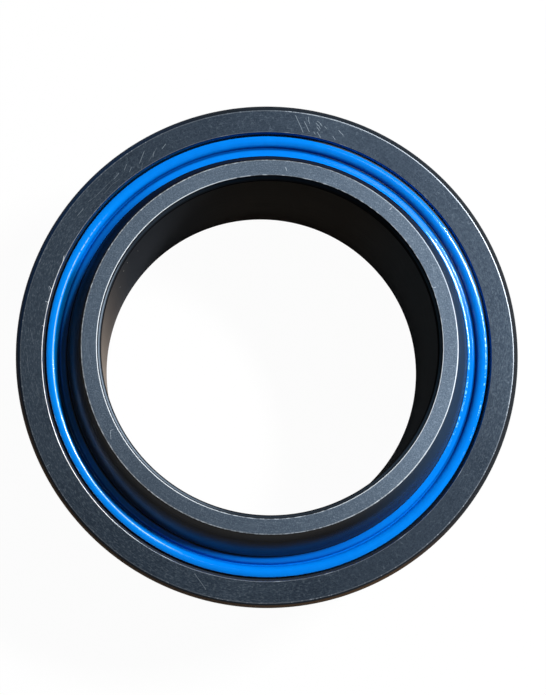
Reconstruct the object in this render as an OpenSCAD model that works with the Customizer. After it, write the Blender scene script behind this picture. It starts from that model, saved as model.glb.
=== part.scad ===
// Sealed radial spherical plain bearing.
// The inner ring stands on its rear face, axis along +Z, with the
// origin at the centre of its sphere. The outer ring and its two seals
// have tipped about the X axis until the outer ring meets the table.

/* [Inner ring] */
// Bore diameter
bore_d = 80; // [70:0.5:90]
// Wall between the bore and the sphere, at the middle
inner_wall = 12.5; // [11:0.1:15]
// Width of the inner ring
inner_w = 55; // [50:0.5:60]
// Length of the bore chamfer along the axis
bore_chamfer_l = 1.5; // [0.8:0.1:2.4]
// Depth of the bore chamfer across the radius
bore_chamfer_r = 1.0; // [0.6:0.1:1.6]
// Break on the edge between the end face and the sphere
sphere_edge = 0.25; // [0.1:0.05:0.5]

/* [Outer ring] */
// Wall between the sphere and the outside, at the middle
outer_wall = 7.5; // [7:0.1:10]
// Width of the outer ring
outer_w = 45; // [41:0.5:48]
// Width of the end face between the seal's recess and the outside
rim_w = 6.4; // [5.7:0.1:7]
// Radius of the ground corner between the outside and the end face
corner_radius = 2.2; // [1.8:0.1:3]
// Depth of that corner across the radius
corner_depth = 1.25; // [0.8:0.05:1.6]
// Width of the lubrication groove round the outside
groove_w = 6; // [5.5:0.5:8]
// Depth of the lubrication groove
groove_depth = 1.6; // [1:0.1:2]
// Diameter of the lubrication holes
hole_d = 4; // [2:0.1:4.5]
// Depth of the grease groove in the race
race_groove_depth = 0.9; // [0.5:0.1:1.2]
// Number of lubrication holes
hole_count = 4; // [2:1:6]

/* [Seal seat] */
// How far the recess's cone opens towards the end face
seat_lead = 0.55; // [0.3:0.05:0.7]
// Depth of the seat from the end face
seat_depth = 5.7; // [5:0.1:6.5]
// Extra radius of the undercut that holds the seal
undercut = 1.3; // [0.6:0.1:1.5]

/* [Seal] */
// Radius of the round outer bead of the seal
bead_r = 1.65; // [1.45:0.05:1.8]
// Depth of the bead's crest below the end face
bead_sink = 0.3; // [0.2:0.05:0.4]
// Open gap between the bead and the wall of the recess
bead_gap = 0.45; // [0.3:0.05:0.6]
// Depth of the outer lip's edge below the end face
lip_sink = 0.85; // [0.7:0.05:1]
// How high the outer lip's crest stands, as a share of the lip's height
crest_share = 0.77; // [0.7:0.01:0.84]
// Number of lips on the sphere
lip_count = 3; // [2:1:4]
// Depth of the grease pockets between the lips
pocket_depth = 0.5; // [0.3:0.05:0.7]

/* [Fits] */
// Radial clearance between the sphere and the race
race_clearance = 0.05; // [0.02:0.01:0.1]
// Running clearance between the lips and the sphere
lip_clearance = 0.04; // [0.02:0.01:0.08]
// Clearance between the seal and its seat
seat_clearance = 0.04; // [0.02:0.01:0.08]
// Height of the tipped outer ring over the table
table_gap = 0.05; // [0.02:0.01:0.2]

/* [Hidden] */
$fn = 180;
// How far cutting shapes reach past what they cut
over = 1;
bore_r = bore_d / 2;
inner_z = inner_w / 2;
sphere_r = bore_r + inner_wall;
face_r = sqrt(sphere_r * sphere_r - inner_z * inner_z);
// Break on the sphere's edge: its height along the axis
break_h = sphere_edge * 0.9;
// Turned blank before the sphere is ground: its wall outside, half its width
blank_wall = 5;
blank_z = inner_z - sphere_edge * 3;
outer_r = sphere_r + outer_wall;
outer_z = outer_w / 2;
race_r = sphere_r + race_clearance;
// Grease groove in the race: how far it reaches past a hole on each side
race_groove_side = 0.6;
race_groove_w = hole_d + 2 * race_groove_side;
// Lubrication groove: depth of its flank and of its foot
groove_side = 0.4;
groove_foot = 0.6;
// Edge of the outer ring's face, which meets the table
edge_r = outer_r - corner_depth;
corner_z = outer_z - sqrt(corner_radius * corner_radius
    - (corner_radius - corner_depth) * (corner_radius - corner_depth));
// Angle that the outer ring has tipped by
rest_tilt = asin((inner_z - table_gap) / sqrt(edge_r * edge_r + outer_z * outer_z))
    - atan(outer_z / edge_r);
// Seat of the seal: depth of its neck, the land there and the slope below
neck_depth = 1.6;
neck_h = 0.1;
snap_h = 0.6;
seat_corner = 0.5;
// Seat's neck, floor and undercut
seat_r = outer_r - rim_w - seat_lead;
seat_z = outer_z - seat_depth;
undercut_r = seat_r + undercut;
neck_z = outer_z - neck_depth;
snap_z = neck_z - snap_h;
// Outline of the seal, from the clearances to its seat
seal_r = seat_r - seat_clearance;
seal_back_z = seat_z + seat_clearance;
snap_r = undercut_r - seat_clearance;
lip_r = sphere_r + lip_clearance;
tip = on_sphere(lip_r, outer_z - lip_sink);
// Bead: its trimmed outer side, its centre and where the body meets it
bead_side = seat_r - bead_gap;
bead_c = bead_side - bead_r * 0.56;
bead_z = outer_z - bead_sink - bead_r;
bead_foot = bead_c - bead_r * 0.9;
// Shoulder beside the bead, and how far the bead's round goes below it
shoulder_h = 0.05;
shoulder_z = neck_z + shoulder_h;
bead_root = bead_r / 4;
// Groove between the bead and the outer lip, and its foot beside the lip
valley_w = 0.27;
valley = [bead_c - bead_r - valley_w, bead_z + shoulder_h];
// Outer lip: its width, and its blunt edge, from the sphere upwards
lip_w = valley[0] - tip[0];
edge_h = 0.08;
lip_edge = [lip_w * 0.02, edge_h];
lip_h = tip[1] + edge_h - valley[1];
// Its upper face, root to crest and crest to edge: shares across and up
crest_steps = [[0.16, 0.68], [0.22, 0.82], [0.3, 0.91], [0.42, 1]];
edge_steps = [[0.54, 0.12], [0.66, 0.23], [0.78, 0.41], [0.9, 0.74]];
// Lips on the sphere: their pitch and the share that touches
lip_pitch = (tip[1] - seal_back_z) / lip_count;
lip_share = 0.45;

// Point at height z on a sphere of radius r
function on_sphere(r, z) = [sqrt(r * r - z * z), z];

// Section of the inner ring before the sphere is cut
module inner_section() {
    polygon([
        [bore_r, -inner_z + bore_chamfer_l],
        [bore_r + bore_chamfer_r, -inner_z],
        [face_r - sphere_edge, -inner_z],
        [face_r + sphere_edge, -inner_z + break_h],
        [sphere_r + blank_wall, -blank_z],
        [sphere_r + blank_wall, blank_z],
        [face_r + sphere_edge, inner_z - break_h],
        [face_r - sphere_edge, inner_z],
        [bore_r + bore_chamfer_r, inner_z],
        [bore_r, inner_z - bore_chamfer_l]
    ]);
}

// Inner ring: plain chamfered bore and a spherical outside
module inner_ring() {
    color([0.44, 0.49, 0.55])
    intersection() {
        rotate_extrude() inner_section();
        sphere(r = sphere_r);
    }
}

// Outer ring's section from the middle to the front face
outer_half = [
    [outer_r - groove_depth, groove_w / 2 - groove_side - groove_foot],
    [outer_r - groove_depth + groove_foot, groove_w / 2 - groove_side],
    [outer_r, groove_w / 2],
    [outer_r, outer_z],
    [seat_r + seat_lead, outer_z],
    [seat_r, neck_z + neck_h],
    [seat_r, neck_z],
    [undercut_r, snap_z],
    [undercut_r, seat_z + seat_corner],
    [undercut_r - seat_corner, seat_z],
    [bore_r, seat_z]
];

// The same points for the other end, in reverse order
function turned(pts) = [for (i = [len(pts) - 1 : -1 : 0]) [pts[i][0], -pts[i][1]]];

// What grinding takes off the outside corner at the front face
module corner_cut() {
    translate([outer_r - corner_radius, corner_z])
    difference() {
        square(corner_radius + over);
        circle(r = corner_radius);
    }
}

// Section of the outer ring, both ends alike
module outer_section() {
    difference() {
        polygon(concat(outer_half, turned(outer_half)));
        corner_cut();
        mirror([0, 1]) corner_cut();
    }
}

// Outer ring: spherical race, seal seats, groove and holes for grease
module outer_ring_body() {
    difference() {
        rotate_extrude() outer_section();
        sphere(r = race_r);
        rotate_extrude() translate([race_r - over, -race_groove_w / 2])
            square([over + race_groove_depth, race_groove_w]);
        for (i = [0 : hole_count - 1])
            rotate([0, 90, (i + 0.5) * 360 / hole_count])
                translate([0, 0, race_r - over])
                    cylinder(d = hole_d, h = outer_r - race_r + 2 * over, $fn = 48);
    }
}

// Outer ring in its tipped place
module outer_ring() {
    color([0.27, 0.31, 0.36])
    rotate([rest_tilt, 0, 0]) outer_ring_body();
}

// Point of the outer lip's upper face, from its shares across and up
function on_lip(across, up) = valley + [-lip_w * across, lip_h * up];

// Section of one seal: snap rim, round bead, groove and wiper lip
module seal_section() {
    polygon(concat([
        [bore_r, bead_z],
        [bore_r, seal_back_z],
        [snap_r - seat_corner, seal_back_z],
        [snap_r, seal_back_z + seat_corner],
        [snap_r, snap_z - seat_clearance],
        [seal_r, neck_z - seat_clearance],
        [seal_r, shoulder_z],
        [bead_side, shoulder_z],
        [bead_c, bead_z],
        [bead_foot, bead_z],
        valley
    ],
    [for (s = crest_steps) on_lip(s[0], crest_share * s[1])],
    [for (s = edge_steps) on_lip(s[0], crest_share + (1 - crest_share) * s[1])],
    [
        tip + lip_edge,
        tip - lip_edge * (over / lip_edge[0])
    ]));
    intersection() {
        translate([bead_c, bead_z]) circle(r = bead_r, $fn = 96);
        translate([bead_c - bead_r - over, shoulder_z - bead_root])
            square([bead_side - bead_c + bead_r + over, 2 * bead_r]);
    }
}

// Grease pocket behind lip number i, open to the sphere
module pocket(i) {
    top = tip[1] - (i + lip_share) * lip_pitch;
    floor = tip[1] - (i + 1) * lip_pitch;
    polygon([
        on_sphere(lip_r, top) - [over, 0],
        on_sphere(lip_r + pocket_depth, top),
        on_sphere(lip_r + pocket_depth, floor),
        on_sphere(lip_r, floor) - [over, 0]
    ]);
}

// Seal made for the front end, about its own axis
module seal_body() {
    difference() {
        rotate_extrude() difference() {
            seal_section();
            for (i = [0 : lip_count - 1]) pocket(i);
        }
        sphere(r = lip_r);
    }
}

// Seal at the front end, tipped with the outer ring
module seal_front() {
    color([0.0, 0.45, 0.92])
    rotate([rest_tilt, 0, 0]) seal_body();
}

// Seal at the rear end, the same moulding turned over
module seal_rear() {
    color([0.0, 0.45, 0.92])
    rotate([rest_tilt, 0, 0]) mirror([0, 0, 1]) seal_body();
}

inner_ring();
outer_ring();
seal_front();
seal_rear();
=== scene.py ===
import math

import bpy
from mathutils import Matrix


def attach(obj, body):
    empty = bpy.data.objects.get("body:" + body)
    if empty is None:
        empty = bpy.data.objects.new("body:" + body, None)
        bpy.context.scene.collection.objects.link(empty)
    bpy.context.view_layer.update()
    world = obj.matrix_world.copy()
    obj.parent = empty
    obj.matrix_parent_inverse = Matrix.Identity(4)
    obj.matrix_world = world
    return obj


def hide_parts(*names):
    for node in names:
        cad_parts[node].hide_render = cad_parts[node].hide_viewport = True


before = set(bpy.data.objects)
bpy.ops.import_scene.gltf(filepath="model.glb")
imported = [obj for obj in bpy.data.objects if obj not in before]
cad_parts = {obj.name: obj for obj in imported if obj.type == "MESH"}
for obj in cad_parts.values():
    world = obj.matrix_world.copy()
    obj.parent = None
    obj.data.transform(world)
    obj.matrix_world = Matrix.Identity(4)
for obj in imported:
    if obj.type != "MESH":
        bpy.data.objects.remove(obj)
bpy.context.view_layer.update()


# Camera: a long lens nearly straight over the bearing, a little towards the
# side where the outer ring has dropped. The picture is taller than wide.
camera = bpy.data.objects.new("camera", bpy.data.cameras.new("camera"))
bpy.context.scene.collection.objects.link(camera)
camera.location = (-0.004033, -0.075582, 0.580289)
camera.rotation_euler = [math.radians(a) for a in (7.3571, -2.493, 15.0078)]
camera.data.sensor_width = 36
camera.data.lens = 122.364
camera.data.clip_start = 0.05
bpy.context.scene.camera = camera
bpy.context.scene.view_settings.view_transform = "Standard"


# Table: a white sheet 0.1 mm under the bearing, which keeps its shadow. What
# looks straight at the sheet, or sees it in metal, sees plain white.
class Value:
    """A socket in a material; arithmetic on it adds Math nodes."""

    def __init__(self, tree, socket=None):
        self.tree = tree
        self.socket = socket

    def node(self, kind, settings=None, inputs=None, out=0):
        """Adds any node: its settings first, then values or links by socket."""
        made = self.tree.nodes.new("ShaderNode" + kind)
        for name, setting in (settings or {}).items():
            if name == "stops":
                for stop, (place, shade) in zip(made.color_ramp.elements, setting):
                    stop.position = place
                    stop.color = (*shade, 1)
            else:
                setattr(made, name, setting)
        for name, value in (inputs or {}).items():
            if isinstance(value, Value):
                self.tree.links.new(value.socket, made.inputs[name])
            else:
                made.inputs[name].default_value = value
        return Value(self.tree, made.outputs[out] if made.outputs else None)

    def math(self, operation, *others):
        return self.node("Math", {"operation": operation}, dict(enumerate((self, *others))))

    def vector(self, operation, *others, out=0):
        return self.node("VectorMath", {"operation": operation},
                         dict(enumerate((self, *others))), out)

    def __add__(self, other):
        return self.math("ADD", other)

    def __sub__(self, other):
        return self.math("SUBTRACT", other)

    def __rsub__(self, other):
        return self.node("Math", {"operation": "SUBTRACT"}, {0: other, 1: self})

    def __mul__(self, other):
        return self.math("MULTIPLY", other)

    def __abs__(self):
        return self.math("ABSOLUTE")

    __radd__ = __add__
    __rmul__ = __mul__

    def above(self, edge, soft):
        """A mask that rises from 0 to 1 across edge, over soft each way."""
        return self.node("MapRange", {"interpolation_type": "SMOOTHSTEP"},
                         {0: self, 1: edge - soft, 2: edge + soft})

    def below(self, edge, soft):
        return 1 - self.above(edge, soft)

    def or_else(self, other):
        return self.math("MAXIMUM", other)

    def ramp(self, low, first, high, last):
        """A colour that goes from the first one at low to the last at high."""
        return self.node("ValToRGB", {"stops": [(low, first), (high, last)]}, {0: self})

    def blend(self, mask, other):
        """This colour, with another colour where the mask is 1."""
        second = other if isinstance(other, Value) else (*other, 1)
        return self.node("Mix", {"data_type": "RGBA"}, {0: mask, 6: self, 7: second}, 2)


def material(name):
    made = bpy.data.materials.new(name)
    made.use_nodes = True
    made.node_tree.nodes.clear()
    return made, Value(made.node_tree)


def hand_over(shader, output="OutputMaterial"):
    """Links the finished shader to the output of its material or world."""
    shader.node(output, None, {"Surface": shader})


def in_mirror(tree):
    """1 for a ray that comes from a metal, glossy or clear surface."""
    glossy = tree.node("LightPath", None, None, "Is Glossy Ray")
    return glossy.or_else(tree.node("LightPath", None, None, "Is Transmission Ray"))


table_top = -0.0276
sheet_size = 6
sheet_grey = 0.86
white_share = 0.97
bpy.ops.mesh.primitive_plane_add(size=sheet_size, location=(0, 0, table_top))
table = bpy.context.object
table.name = "table"
sheet, tree = material("white_sheet")
seen = tree.node("LightPath").or_else(in_mirror(tree))
lit = tree.node("BsdfDiffuse", None, {"Color": (sheet_grey, sheet_grey, sheet_grey, 1)})
plain = tree.node("Emission", None, {"Color": (1, 1, 1, 1), "Strength": 1})
hand_over(tree.node("MixShader", None, {0: seen * white_share, 1: lit, 2: plain}))
table.data.materials.append(sheet)


# Light: a bright box on the right and a narrow strip beside it draw the white
# lines on the seal. A sheen board overhead lights the ground faces, and the
# room is dim, paler low down.
def softbox(name, direction, distance, width, height, power):
    lamp = bpy.data.lights.new(name, "AREA")
    lamp.shape = "RECTANGLE"
    lamp.size = width
    lamp.size_y = height
    lamp.energy = power
    box = bpy.data.objects.new(name, lamp)
    bpy.context.scene.collection.objects.link(box)
    length = math.hypot(*direction)
    box.location = [distance * d / length for d in direction]
    box.rotation_mode = "QUATERNION"
    box.rotation_quaternion = box.location.to_track_quat("Z", "Y")
    return box


softbox("side_box", (0.472, 0.396, 0.788), distance=1.0, width=0.2, height=0.07, power=15.0)
strip = softbox("strip_box", (0.596, 0.304, 0.743), distance=1.0, width=0.3, height=0.04,
                power=6.0)
board = softbox("sheen_board", (0.22, 0.3, 0.93), distance=0.6, width=0.2, height=0.2,
                power=0.4)
strip.visible_diffuse = False
board.visible_diffuse = False
room_level = 0.06
low_room_level = 0.34
world = bpy.data.worlds.new("room")
bpy.context.scene.world = world
world.use_nodes = True
world.node_tree.nodes.clear()
tree = Value(world.node_tree)
height = tree.node("SeparateXYZ", None, {0: tree.node("TexCoord")}, 2)
level = room_level + in_mirror(tree) * height.below(0.35, 0.3) * low_room_level
level = level + tree.node("LightPath") * (1 - level)
hand_over(tree.node("Background", None, {"Color": (1, 1, 1, 1), "Strength": level}),
          "OutputWorld")


# Outer ring: bearing steel, turned with its race, seal seats and grease
# groove, drilled with four holes, hardened and phosphated dark grey. The
# outside is ground, and both faces carry fine scratches.
def arc(centre, radius, start, end, steps):
    """Points of an arc in the section plane, as (radius, height) in mm."""
    for k in range(steps + 1):
        a = math.radians(start + (end - start) * k / steps)
        yield centre[0] + radius * math.cos(a), centre[1] + radius * math.sin(a)


def on_sphere(radius, height):
    return math.sqrt(radius * radius - height * height), height


def ball(radius, low, high, steps):
    """Points along a sphere about the origin, between two heights."""
    for k in range(steps + 1):
        yield on_sphere(radius, low + (high - low) * k / steps)


def eased(corner, before, after, round_off, steps=4, most=0.45):
    """A corner of the section, rounded off with a small radius."""
    back = [b - c for b, c in zip(before, corner)]
    on = [a - c for a, c in zip(after, corner)]
    back_len, on_len = math.hypot(*back), math.hypot(*on)
    cut = min(round_off, back_len * most, on_len * most)
    first = [c + b * cut / back_len for c, b in zip(corner, back)]
    last = [c + a * cut / on_len for c, a in zip(corner, on)]
    for k in range(steps + 1):
        t = k / steps
        yield tuple((1 - t) ** 2 * f + 2 * t * (1 - t) * c + t * t * e
                    for f, c, e in zip(first, corner, last))


def softened(points, round_off, least_turn=12):
    """The closed section with every clear corner rounded off."""
    made = []
    for k, corner in enumerate(points):
        before, after = points[k - 1], points[(k + 1) % len(points)]
        turn = (math.atan2(after[1] - corner[1], after[0] - corner[0])
                - math.atan2(corner[1] - before[1], corner[0] - before[0]))
        turn = abs((turn + math.pi) % (2 * math.pi) - math.pi)
        if turn > math.radians(least_turn):
            made.extend(eased(corner, before, after, round_off))
        else:
            made.append(corner)
    return made


def turned(name, section, body, node, tilt=0.0, steps=360):
    """A closed section in mm, turned about the axis into a smooth solid."""
    rings = [[(r * math.cos(a) / 1000, r * math.sin(a) / 1000, z / 1000) for r, z in section]
             for a in (2 * math.pi * k / steps for k in range(steps))]
    count = len(section)
    faces = [(k * count + j, k * count + (j + 1) % count,
              (k + 1) % steps * count + (j + 1) % count, (k + 1) % steps * count + j)
             for k in range(steps) for j in range(count)]
    mesh = bpy.data.meshes.new(name)
    mesh.from_pydata([p for ring in rings for p in ring], [], faces)
    mesh.polygons.foreach_set("use_smooth", [True] * len(mesh.polygons))
    piece = bpy.data.objects.new(name, mesh)
    bpy.context.scene.collection.objects.link(piece)
    piece.rotation_euler.x = math.radians(tilt)
    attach(piece, body)
    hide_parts(node)
    return piece


def upper_and_lower(half):
    """A section that is the same at both ends, from its upper half."""
    return half + [(r, -z) for r, z in reversed(half)]


tilt = 4.914156
race = 52.55
race_groove_depth, race_groove_z = 0.9, 2.6
outside = 60.0
groove_z, groove_floor, groove_foot, groove_side = 3.0, 58.4, 0.6, 0.4
face_z = 22.5
face_rim, mouth = 58.75, 53.6
corner_r, corner_z, corner_end = 2.2, 20.5157, 64.42
seat, seat_floor = 53.05, 16.8
neck_z, neck_h, snap_z = 20.9, 0.1, 20.3
undercut, seat_corner = 54.35, 0.5
outer_half = [
    (groove_floor, groove_z - groove_side - groove_foot),
    (groove_floor + groove_foot, groove_z - groove_side),
    (outside, groove_z),
    *arc((outside - corner_r, corner_z), corner_r, 0, corner_end, steps=10),
    (mouth, face_z),
    (seat, neck_z + neck_h),
    (seat, neck_z),
    (undercut, snap_z),
    (undercut, seat_floor + seat_corner),
    (undercut - seat_corner, seat_floor),
    *ball(race, seat_floor, race_groove_z, steps=24),
    (race + race_groove_depth, race_groove_z),
]
outer = turned("outer_ring_ground", softened(upper_and_lower(outer_half), round_off=0.12),
               "outer_ring", "outer_ring", tilt)

hole_count = 4
hole_sides = 48
hole_r = 0.002
hole_ends = (0.0515, 0.061)
rims = []
walls = []
for k in range(hole_count):
    a = math.radians(360 / hole_count * (k + 0.5))
    for reach in hole_ends:
        for j in range(hole_sides):
            b = math.radians(360 / hole_sides * j)
            side, rise = hole_r * math.cos(b), hole_r * math.sin(b)
            rims.append((reach * math.cos(a) - side * math.sin(a),
                         reach * math.sin(a) + side * math.cos(a), rise))
    inner_end = 2 * hole_sides * k
    outer_end = inner_end + hole_sides
    walls.append([outer_end - 1 - j for j in range(hole_sides)])
    walls.append([outer_end + j for j in range(hole_sides)])
    walls.extend((inner_end + j, inner_end + (j + 1) % hole_sides,
                  outer_end + (j + 1) % hole_sides, outer_end + j) for j in range(hole_sides))
drill = bpy.data.meshes.new("lubrication_hole")
drill.from_pydata(rims, [], walls)
cutter = bpy.data.objects.new("lubrication_hole", drill)
bpy.context.scene.collection.objects.link(cutter)
cutter.rotation_euler.x = outer.rotation_euler.x
cut = outer.modifiers.new("holes", "BOOLEAN")
cut.object = cutter
cut.solver = "EXACT"


def keep_result(piece):
    """Turns a piece's modifiers into its own mesh."""
    shape = bpy.data.meshes.new_from_object(
        piece.evaluated_get(bpy.context.evaluated_depsgraph_get()))
    piece.modifiers.clear()
    piece.data = shape


keep_result(outer)
bpy.data.objects.remove(cutter)


def crisp(piece, least_edge=32):
    """Smooth shading that breaks only at real edges."""
    piece.data.set_sharp_from_angle(angle=math.radians(least_edge))
    piece.modifiers.new("even_normals", "WEIGHTED_NORMAL").keep_sharp = True


crisp(outer)


def turned_place(tree):
    """Place on a turned piece in mm: its point, radius, height and angle."""
    point = tree.node("TexCoord", None, None, "Object")
    point = point.node("VectorMath", {"operation": "SCALE"}, {0: point, "Scale": 1000.0})
    x, y, z = (point.node("SeparateXYZ", None, {0: point}, k) for k in range(3))
    radius = (x * x + y * y).math("SQRT")
    return point, radius, z, y.math("ARCTAN2", x)


def speckle(point, scale, detail=2.0, stretch=(1, 1, 1)):
    """Noise from 0 to 1 at so many features per mm, drawn out by stretch."""
    drawn = point.vector("MULTIPLY", stretch)
    return drawn.node("TexNoise", None, {"Vector": drawn, "Scale": scale, "Detail": detail})


def turned_space(tree, radius, z, angle):
    """A space in which lines run round the axis instead of along X."""
    return tree.node("CombineXYZ", None, {0: radius, 1: angle * 10, 2: z})


def curls(point, scale, thin, cover, seed):
    """Fine curly scratches: the level lines of a noise, broken by another."""
    placed = point.node("Mapping", None,
                        {"Vector": point, "Location": (seed * 7.3, seed * 3.1, 0)})
    wave = placed.node("TexNoise", None, {"Vector": placed, "Scale": scale, "Detail": 1.0,
                                          "Distortion": 0.6})
    patches = (speckle(placed, 0.9, 2).above(0.52, 0.05)
               * speckle(placed, 0.1, 2).above(cover, 0.12))
    return abs(wave - 0.5).below(thin, thin * 0.6) * patches


def around(angle, middle, half, soft):
    """A mask for the part of a ring within half a sector of its middle."""
    turn = (angle - math.radians(middle)).math("COSINE")
    return turn.above(math.cos(math.radians(half)), soft)


def rim(radius, height, at_radius, at_height, width):
    """A thin band along a turned edge."""
    across, along = radius - at_radius, abs(height) - at_height
    return (across * across + along * along).math("SQRT").below(width, width * 0.5)


def stroke(point, start, end, width=0.05):
    """A single scratch on a face, between two places given as (angle, radius)."""
    ax, ay, bx, by = (r * part(math.radians(a)) for a, r in (start, end)
                      for part in (math.cos, math.sin))
    along = (bx - ax, by - ay, 0)
    flat = point.vector("MULTIPLY_ADD", (1, 1, 0), (-ax, -ay, 0))
    share = flat.vector("DOT_PRODUCT", along, out=1)
    share = share.node("Math", {"operation": "DIVIDE", "use_clamp": True},
                       {0: share, 1: along[0] ** 2 + along[1] ** 2})
    foot = point.node("VectorMath", {"operation": "SCALE"}, {0: along, "Scale": share})
    return flat.vector("DISTANCE", foot, out=1).below(width, width * 0.6)


def all_strokes(point, places):
    marks = None
    for start, end in places:
        mark = stroke(point, start, end)
        marks = mark if marks is None else marks.or_else(mark)
    return marks


def steel_finish(tree, shared, smooth, share):
    """A matt steel surface, with a smooth one where share is 1."""
    polish = tree.node("BsdfPrincipled", None, {**shared, **smooth})
    matt = tree.node("BsdfPrincipled", None,
                     {**shared, "Roughness": 0.6, "Specular IOR Level": 0.0})
    hand_over(tree.node("MixShader", None, {0: share, 1: matt, 2: polish}))


# Colour of worn edges, standing also for their highlights.
worn_steel_highlight = (0.40, 0.46, 0.53)
wall_top = 20.5
black_steel, tree = material("phosphated_steel")
point, radius, z, angle = turned_place(tree)
ring_space = turned_space(tree, radius, z, angle)
face = abs(z).above(face_z - 0.06, 0.04)
wall = radius.above(outside - 0.1, 0.04) * abs(z).below(wall_top, 0.4)
corner = abs(z).above(wall_top - 0.3, 0.3)
recess = radius.below(mouth + 0.15, 0.05) * abs(z).above(neck_z - 0.05, 0.05) * (1 - face)
grain = speckle(ring_space, 2.4, 3, (1.6, 0.3, 1)) * 0.3 + speckle(point, 3.0, 3) * 0.7
cloud = speckle(point, 0.06, 3)
grinding = speckle(ring_space, 2.0, 3, (1, 0.06, 3))
lines = curls(point, 0.5, 0.012, 0.46, 1).or_else(curls(point, 0.9, 0.014, 0.46, 5))
lines = lines * (face + wall)
single = all_strokes(point, [
    ((270.4, 57.3), (266.7, 54.5)), ((221.8, 58.7), (221.7, 57.8)), ((93.2, 57.5), (92.1, 57.0)),
    ((92.7, 56.6), (92.1, 55.9)), ((136.2, 57.1), (138.8, 55.2)), ((141.5, 56.8), (142.8, 56.0)),
    ((141.0, 55.5), (142.1, 54.9)), ((144.3, 56.2), (146.2, 55.9)), ((134.2, 55.8), (135.1, 54.8)),
    ((130.8, 56.2), (132.2, 55.5)), ((156.6, 56.2), (158.7, 56.3)), ((168.3, 58.8), (169.4, 58.4)),
    ((177.8, 54.7), (178.6, 54.0)), ((181.8, 54.1), (182.9, 53.8)), ((98.5, 58.0), (97.9, 57.0)),
    ((97.9, 57.0), (97.0, 55.6)), ((97.0, 55.6), (96.1, 54.2)), ((96.2, 56.8), (94.6, 54.6)),
    ((95.4, 58.1), (95.2, 57.1)), ((95.2, 57.1), (94.8, 56.5)), ((93.4, 57.0), (92.8, 56.5)),
    ((92.9, 56.0), (92.2, 55.4)), ((92.4, 57.0), (91.8, 56.6)), ((91.2, 56.7), (90.6, 56.3)),
    ((93.5, 54.8), (93.0, 54.3)), ((92.6, 54.9), (91.5, 53.8)), ((87.6, 56.6), (86.2, 55.9)),
    ((88.6, 54.9), (87.8, 54.3)),
]) * face
faint = all_strokes(point, [
    ((154.6, 56.4), (152.0, 55.9)), ((152.0, 55.9), (147.2, 56.0)), ((150.3, 54.9), (147.4, 55.2)),
    ((147.4, 55.2), (145.0, 55.0)), ((136.5, 54.5), (133.2, 56.3)), ((140.4, 52.6), (138.1, 54.9)),
    ((189.0, 56.7), (192.3, 55.7)), ((194.3, 57.2), (199.1, 56.9)), ((202.2, 55.4), (205.7, 55.1)),
]) * face
nicks = all_strokes(point, [
    ((177.5, 54.5), (178.2, 53.7)), ((181.4, 54.4), (181.5, 53.6)), ((187.5, 54.1), (187.7, 53.6)),
    ((169.0, 54.0), (170.2, 53.7)),
]) * face
# Worn edges, painted as bright lines that stand also for their highlights, brighter on the sides
# the lamps light.
wear_and_highlight = (speckle(point, 2.2, 2) + around(angle, 52, 42, 0.2) * 0.5).above(0.62, 0.2)
worn_edge_highlight = rim(radius, z, face_rim, face_z, 0.11) * 0.85 * wear_and_highlight.or_else(0.25)
painted_highlight_side = around(angle, 208, 40, 0.14)
mouth_wear_and_highlight = (speckle(ring_space, 1.1, 3) + painted_highlight_side * 0.2).above(0.6, 0.14)
worn_edge_highlight = worn_edge_highlight.or_else(rim(radius, z, mouth, face_z, 0.1) * mouth_wear_and_highlight.or_else(0.3)).or_else(nicks)
tone = (grain * 0.75 + cloud * 0.25).ramp(0.35, (0.018, 0.030, 0.049),
                                          0.65, (0.051, 0.073, 0.102))
# Painted shade: the face is darker on two sides. Painted light: it is paler on the left.
painted_shade = around(angle, 325, 45, 0.25) * 0.3 + around(angle, 95, 60, 0.3) * 0.2
painted_lighter_patch = around(angle, 192, 30, 0.2) * 0.35
tone = tone.blend(painted_shade, (0.012, 0.018, 0.028)).blend(painted_lighter_patch, (0.07, 0.098, 0.134))
fleck = speckle(ring_space, 4.5, 1, (1, 1.5, 1))
flecked = around(angle, 222, 75, 0.3) * 0.28 + around(angle, 15, 25, 0.2) * 0.24 + 0.03
tone = tone.blend(fleck.above(0.6, 0.06) * flecked, (0.15, 0.185, 0.22))
tone = tone.blend(fleck.below(0.42, 0.06) * flecked * 0.6, (0.012, 0.018, 0.027))
dark = grain.ramp(0.3, (0.007, 0.011, 0.016), 0.7, (0.013, 0.018, 0.026))
# The corner goes brown towards the bottom.
brown_lower_corner = around(angle, 270, 65, 0.3) * radius.above(outside - 0.7, 0.25) * corner
# Painted reflection: navy on the corner's left. Painted light: paler grey on its right, towards
# the lamp.
painted_reflection_corner = around(angle, 165, 30, 0.2) * corner
painted_light_corner = around(angle, 15, 50, 0.25) * corner
dark = dark.blend(brown_lower_corner, (0.072, 0.040, 0.018)).blend(painted_reflection_corner, (0.005, 0.022, 0.062))
dark = dark.blend(painted_light_corner, (0.015, 0.018, 0.022))
wall_tone = (grinding * 0.6 + cloud * 0.4).ramp(0.3, (0.026, 0.036, 0.050),
                                                0.7, (0.062, 0.080, 0.102))
colour = dark.blend(wall, wall_tone).blend(face, tone)
colour = colour.blend(recess, (0.2, 0.23, 0.27))
# Painted reflection of the blue seal in the recess wall, strongest at the top.
painted_seal_reflection = recess * around(angle, 90, 75, 0.3)
painted_seal_reflection_band = painted_seal_reflection * abs(abs(z) - (face_z - 0.8)).below(0.4, 0.2)
colour = colour.blend(painted_seal_reflection, (0.01, 0.04, 0.10)).blend(painted_seal_reflection_band, (0.03, 0.36, 0.80))
colour = colour.blend(lines * 0.2, (0.20, 0.25, 0.30)).blend(single * 0.65, (0.32, 0.38, 0.44))
colour = colour.blend(faint * 0.3, (0.26, 0.31, 0.36)).blend(worn_edge_highlight, worn_steel_highlight)
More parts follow.
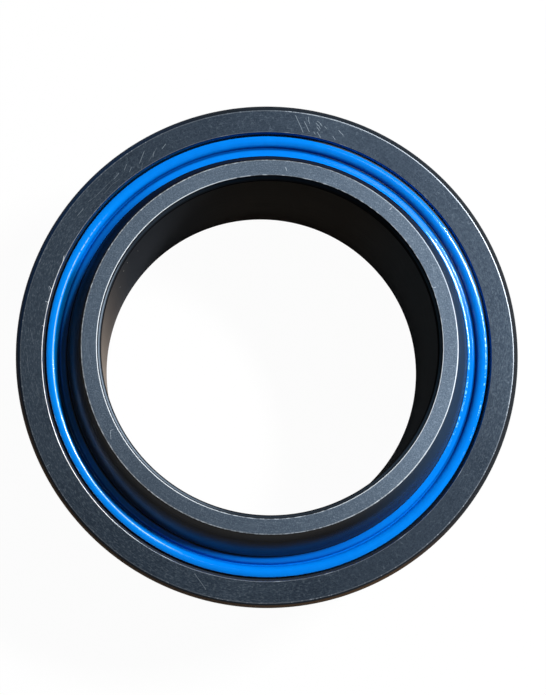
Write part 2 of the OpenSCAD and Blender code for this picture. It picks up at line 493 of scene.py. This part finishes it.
# Painted highlight on the mouth's edge at the left.
colour = colour.blend(worn_edge_highlight * painted_highlight_side * radius.below(mouth + 0.4, 0.1), (0.85, 0.88, 0.90))
bump = tree.node("Bump", None, {"Strength": 0.12, "Distance": 0.00002,
                                "Height": grain + lines + grinding * wall * 2})
ground = face + recess + wall
shared = {"Base Color": colour, "Normal": bump, "Metallic": ground * 0.85 * (1 - worn_edge_highlight)}
roughness = 0.38 + grain * 0.12 - worn_edge_highlight * 0.1 - recess * 0.2
steel_finish(tree, shared, {"Roughness": roughness}, ground.or_else(worn_edge_highlight).or_else(0.15))
outer.data.materials.append(black_steel)


# Inner ring: the same steel with a plain bore, chamfered at both ends, and
# a sphere on its outside that is ground and polished to run in the race.
sphere = 52.5
bore = 40.0
half_width = 27.5
chamfer_edge, chamfer_l = bore + 1.0, 1.5
sphere_break, break_h = 0.25, 0.17
face_edge = math.sqrt(sphere ** 2 - half_width ** 2)
inner_half = [
    *list(ball(sphere, 0, half_width - break_h, steps=48))[1:],
    (face_edge - sphere_break, half_width),
    (chamfer_edge, half_width),
    (bore, half_width - chamfer_l),
]
inner = turned("inner_ring_ground", softened(upper_and_lower(inner_half), round_off=0.1),
               "inner_ring", "inner_ring")
crisp(inner)

polished, tree = material("polished_steel")
point, radius, z, angle = turned_place(tree)
ring_space = turned_space(tree, radius, z, angle)
face = abs(z).above(half_width - 0.05, 0.03)
inside = radius.below(bore + 0.05, 0.03)
chamfer = radius.below(chamfer_edge, 0.03) * (1 - inside) * (1 - face)
near_lip = abs(z).below(24.0, 1.3) * (1 - around(angle, 95, 60, 0.25) * 0.85)
grain = speckle(point, 3.6, 4) * 0.8 + speckle(point, 1.1, 2) * 0.2
strokes = speckle(ring_space, 3.2, 2, (1.2, 0.3, 1)).above(0.58, 0.1) * face
turning = speckle(ring_space, 1.5, 2, (1, 0.2, 6))
single = all_strokes(point, [
    ((225.9, 43.6), (223.5, 42.75)), ((223.5, 42.75), (223.6, 42.1)), ((64.0, 44.1), (64.0, 43.4)),
    ((34.8, 41.9), (34.9, 41.2)), ((100.2, 43.0), (99.7, 42.2)),
]) * face
tone = grain.ramp(0.35, (0.032, 0.050, 0.076), 0.65, (0.083, 0.116, 0.158))
# Painted shade: the face is darker on two sides.
painted_shade = around(angle, 275, 50, 0.3) * 0.5 + around(angle, 58, 60, 0.3) * 0.3
tone = tone.blend(painted_shade, (0.014, 0.024, 0.038))
pits = speckle(point, 2.8, 1)
tone = tone.blend(pits.above(0.6, 0.06) * 0.15, (0.23, 0.28, 0.33))
tone = tone.blend(pits.below(0.42, 0.06) * 0.2, (0.030, 0.042, 0.058))
tone = tone.blend(curls(point, 0.8, 0.02, 0.42, 9) * 0.14, (0.26, 0.32, 0.38))
tone = tone.blend(strokes * 0.05, (0.30, 0.36, 0.42)).blend(single * 0.6, (0.42, 0.48, 0.54))
# Worn edges painted bright, standing also for their highlights, brighter where the lamps light
# them.
wear_and_highlight = (speckle(point, 1.4, 3) + around(angle, 20, 50, 0.3) * 0.3).above(0.52, 0.12)
worn_edge_highlight = rim(radius, z, face_edge - 0.15, half_width, 0.12) * (1 - around(angle, 35, 60, 0.3) * 0.4)
worn_edge_highlight = worn_edge_highlight * (0.3 + wear_and_highlight * 0.5)
painted_highlight_sectors = around(angle, 195, 70, 0.3).or_else(around(angle, 345, 35, 0.15))
bore_wear_and_highlight = (speckle(point, 0.9, 3) + painted_highlight_sectors * 0.4).above(0.55, 0.1)
worn_edge_highlight = worn_edge_highlight.or_else(rim(radius, z, chamfer_edge, half_width, 0.11) * (0.2 + bore_wear_and_highlight * 0.7))
# The bore's colour goes round it: cooler on the right, bluish grey on the left, painted warm light
# further left, and a painted beige reflection low on the left.
bore_tone = turning.ramp(0.3, (0.030, 0.028, 0.026), 0.7, (0.050, 0.047, 0.043))
cool_tone = turning.ramp(0.3, (0.032, 0.039, 0.046), 0.7, (0.054, 0.063, 0.073))
cool_side = around(angle, 0, 60, 0.3)
dim_side = around(angle, 190, 62, 0.3)
painted_warm_light = around(angle, 220, 37, 0.3)
bore_tone = bore_tone.blend(cool_side, cool_tone).blend(dim_side, (0.032, 0.036, 0.043))
bore_tone = bore_tone.blend(painted_warm_light, (0.165, 0.139, 0.120))
painted_beige_reflection = around(angle, 256, 61, 0.48)
painted_beige_reflection = painted_beige_reflection * painted_beige_reflection * z.below(22, 9) * inside
ball_tone = turning.ramp(0.3, (0.007, 0.0066, 0.006), 0.7, (0.011, 0.010, 0.0094))
# Painted reflection of the blue seal on the sphere's right side, next to the lip.
painted_blue_reflection = around(angle, 5, 42, 0.3) * z.above(19, 4)
colour = ball_tone.blend(painted_blue_reflection, (0.022, 0.040, 0.070))
colour = colour.blend(inside, bore_tone).blend(painted_beige_reflection, (0.44, 0.375, 0.32))
# Painted light and shade round the chamfer: light on the left, shade elsewhere, darkest at the
# top, and bluish painted light on the right.
painted_shade_chamfer = (1 - around(angle, 222, 44, 0.12)) * chamfer
colour = colour.blend(chamfer, (0.085, 0.112, 0.146)).blend(painted_shade_chamfer, (0.017, 0.025, 0.036))
painted_shade_top_chamfer = chamfer * around(angle, 60, 75, 0.3)
bright = chamfer * around(angle, 8, 40, 0.25)
colour = colour.blend(painted_shade_top_chamfer, (0.004, 0.008, 0.014)).blend(bright, (0.035, 0.062, 0.095))
ledges = abs(radius - (bore + 0.82)).below(0.08, 0.06).or_else(radius.below(bore + 0.26, 0.06))
# Painted highlight: a light line along the chamfer on the left.
painted_step_highlight = abs(radius - (bore + 0.5)).below(0.09, 0.07) * chamfer * around(angle, 207, 38, 0.15)
ledges = (ledges * chamfer).or_else(abs(z).above(half_width - 2.6, 0.5) * inside)
colour = colour.blend(ledges, (0.004, 0.005, 0.007)).blend(painted_step_highlight, (0.20, 0.25, 0.31))
colour = colour.blend(face, tone)
# Painted highlight on the chamfer's edge in the lit sectors.
colour = colour.blend(worn_edge_highlight, worn_steel_highlight).blend(worn_edge_highlight * painted_highlight_sectors * 0.6, (0.75, 0.80, 0.84))
dust_specks = ((157.2, 15, 0.1), (163.4, 19, 0.13), (166.0, 16, 0.16), (169.4, 4, 0.14))
for at, high, size in dust_specks:
    across, along = (angle - math.radians(at)) * bore, z - high
    speck = (across * across + along * along * 0.2).math("SQRT").below(size, size * 0.5) * inside
    colour = colour.blend(speck, (0.30, 0.29, 0.28))
bump = tree.node("Bump", None, {"Strength": 0.1, "Distance": 0.00002,
                                "Height": grain * face + turning * inside})
shared = {"Base Color": colour, "Normal": bump, "Metallic": face * 0.85 * (1 - worn_edge_highlight)}
roughness = 0.26 + (face + chamfer) * (0.16 + grain * 0.12) + worn_edge_highlight * 0.1
gloss = (0.2 + face * 0.8 + near_lip * 0.5).math("MINIMUM", 1.0) * (1 - inside) * (1 - painted_shade_top_chamfer * 0.9)
steel_finish(tree, shared, {"Specular IOR Level": 0.8, "Roughness": roughness},
             gloss.or_else(worn_edge_highlight))
inner.data.materials.append(polished)


# Seals: two blue polyurethane rings, each moulded with a round bead and a
# lip that wipes the sphere, and snapped into the undercut of its seat.
clearance = 0.04
lip, lip_sink = sphere + clearance, 0.85
tip = on_sphere(lip, face_z - lip_sink)
bead_r, bead_gap, bead_sink = 1.65, 0.45, 0.3
bead_side = seat - bead_gap
bead = (bead_side - bead_r * 0.56, face_z - bead_sink - bead_r)
shoulder_h = 0.05
shoulder = neck_z + shoulder_h
valley_w = 0.27
valley = (bead[0] - bead_r - valley_w, bead[1] + shoulder_h)
lip_w = valley[0] - tip[0]
lip_edge = 0.02
back = seat_floor + clearance
pocket_depth = 0.5
lip_count, lip_share = 3, 0.45
pitch = (tip[1] - back) / lip_count
comb = []
for k in reversed(range(lip_count)):
    foot = tip[1] - (k + 1) * pitch
    head = tip[1] - (k + lip_share) * pitch
    comb.append(on_sphere(lip + pocket_depth, foot))
    comb.append(on_sphere(lip + pocket_depth, head))
    comb.extend(ball(lip, head, head + lip_share * pitch, steps=5))
comb.pop()
slopes = [(0.0, 66), (0.16, 60), (0.22, 34), (0.30, 30), (0.36, 10), (0.46, 2), (0.62, 4),
          (0.70, 14), (0.80, 20), (0.90, 24), (0.97, 38)]
slope_steps = 4
lip_face = []
rise = 0
for (at, slope), (to, steeper) in zip(slopes, slopes[1:]):
    for k in range(slope_steps):
        share = at + (to - at) * k / slope_steps
        lip_face.append((valley[0] - lip_w * share, valley[1] + rise))
        mean = math.radians(slope + (steeper - slope) * (k + 0.5) / slope_steps)
        rise += lip_w * (to - at) / slope_steps * math.tan(mean)
seal_section = [
    tip,
    (tip[0] + lip_w * lip_edge, valley[1] + rise),
    *reversed(lip_face),
    *arc(bead, bead_r, 179, 55.94, steps=28),
    (bead_side, shoulder),
    (seat - clearance, shoulder),
    (seat - clearance, neck_z - clearance),
    (undercut - clearance, snap_z - clearance),
    (undercut - clearance, back + seat_corner),
    (undercut - clearance - seat_corner, back),
    *comb,
]
blue, tree = material("blue_polyurethane")
point, radius, z, angle = turned_place(tree)
ring_space = turned_space(tree, radius, z, angle)
drawn = speckle(ring_space, 1.2, 3, (4, 0.3, 4))
mottle = speckle(point, 0.5, 3)
tone = ((drawn + mottle) * 0.5).ramp(0.3, (0.0, 0.185, 0.74), 0.7, (0.0, 0.22, 0.83))
ripple = speckle(ring_space, 1.1, 2, (0.6, 6, 0.6))
rippled = (around(angle, 205, 62, 0.3) * radius.below(bead[0] - 0.1, 0.3)
           * radius.above(bead[0] - 1.2, 0.2))
bump = tree.node("Bump", None, {"Strength": 1.0, "Distance": 0.00003,
                                "Height": drawn * 0.15 + ripple * (0.5 + rippled * 2.5)})
# Painted shade in the groove between bead and lip, deepest on the upper right.
groove = abs(radius - valley[0] - 0.2).below(0.6, 0.5) * abs(z).below(face_z - 1, 0.5)
groove = groove * (0.3 + around(angle, 70, 85, 0.3) * 0.55)
tone = tone.blend(groove, (0.0, 0.03, 0.20))
# Painted highlight: a pale broken line along the bead on the left.
painted_bead_highlight = abs(radius - bead[0] + 0.62).below(0.1, 0.06) * around(angle, 208, 49, 0.1)
painted_bead_highlight = painted_bead_highlight * (ripple + around(angle, 215, 40, 0.2) * 0.3).above(0.5, 0.12)
tone = tone.blend(painted_bead_highlight, (0.62, 0.80, 0.92))
on_lip = radius.below(valley[0] - 0.1, 0.2)
# Painted shade on the lip, low down and on the left.
painted_shade_low_lip = around(angle, 283, 34, 0.25) * on_lip * 0.55
painted_shade_left_lip = around(angle, 168, 22, 0.1) * on_lip * 0.75
tone = tone.blend(painted_shade_low_lip, (0.0, 0.05, 0.36)).blend(painted_shade_left_lip, (0.0, 0.05, 0.26))
# Painted light on the bead's outer side at the left.
painted_light_bead = around(angle, 205, 55, 0.3) * radius.above(bead[0] - 1.2, 0.3) * 0.5
tone = tone.blend(painted_light_bead, (0.0, 0.29, 1.0))
# Painted shadow inside the bead on the left, where the inner ring shades the seal.
painted_shadow_left = radius.below(bead[0] - 1.0, 0.12) * around(angle, 195, 25, 0.04)
painted_shadow_left = painted_shadow_left * (0.5 + radius.above(valley[0], 0.3) * 0.43)
tone = tone.blend(painted_shadow_left, (0.0, 0.055, 0.17))
# Painted shade in the gap beside the seal's outer shoulder.
painted_shade_gap = radius.above(bead[0] + bead_r * 0.5, 0.06) * abs(z).below(face_z - 1.2, 0.25)
tone = tone.blend(painted_shade_gap, (0.0, 0.006, 0.02))
# Painted shadow under the lip's tip on the lower left.
painted_shadow_tip = radius.below(tip[0] + 0.3, 0.12) * around(angle, 240, 55, 0.3)
tone = tone.blend(painted_shadow_tip * 0.9, (0.0, 0.004, 0.012))
# Painted glints: bright specks along the bead and the lip's edge on the right.
painted_bead_glint = abs(radius - bead[0] - 0.55).below(0.14, 0.1)
painted_glints = painted_bead_glint.or_else(abs(radius - tip[0] - 0.35).below(0.16, 0.1))
painted_glints = painted_glints * around(angle, 8, 17, 0.04) * speckle(point, 1.6, 2).above(0.57, 0.05)
tone = tone.blend(painted_glints * 0.8, (0.25, 0.75, 1.0))
hand_over(tree.node("BsdfPrincipled", None, {
    "Base Color": tone, "Normal": bump, "Roughness": 0.1 + drawn * 0.08,
    "Specular IOR Level": 0.35, "Specular Tint": (0.3, 0.65, 1.0, 1.0),
    "Coat Weight": 0.5, "Coat Roughness": 0.06,
}))
for name, node, way in (("seal_front_moulded", "seal_front", 1),
                        ("seal_rear_moulded", "seal_rear", -1)):
    outline = [(r, way * h) for r, h in softened(seal_section, round_off=0.1)][::way]
    seal = turned(name, outline, "seals", node, tilt)
    crisp(seal)
    seal.data.materials.append(blue)
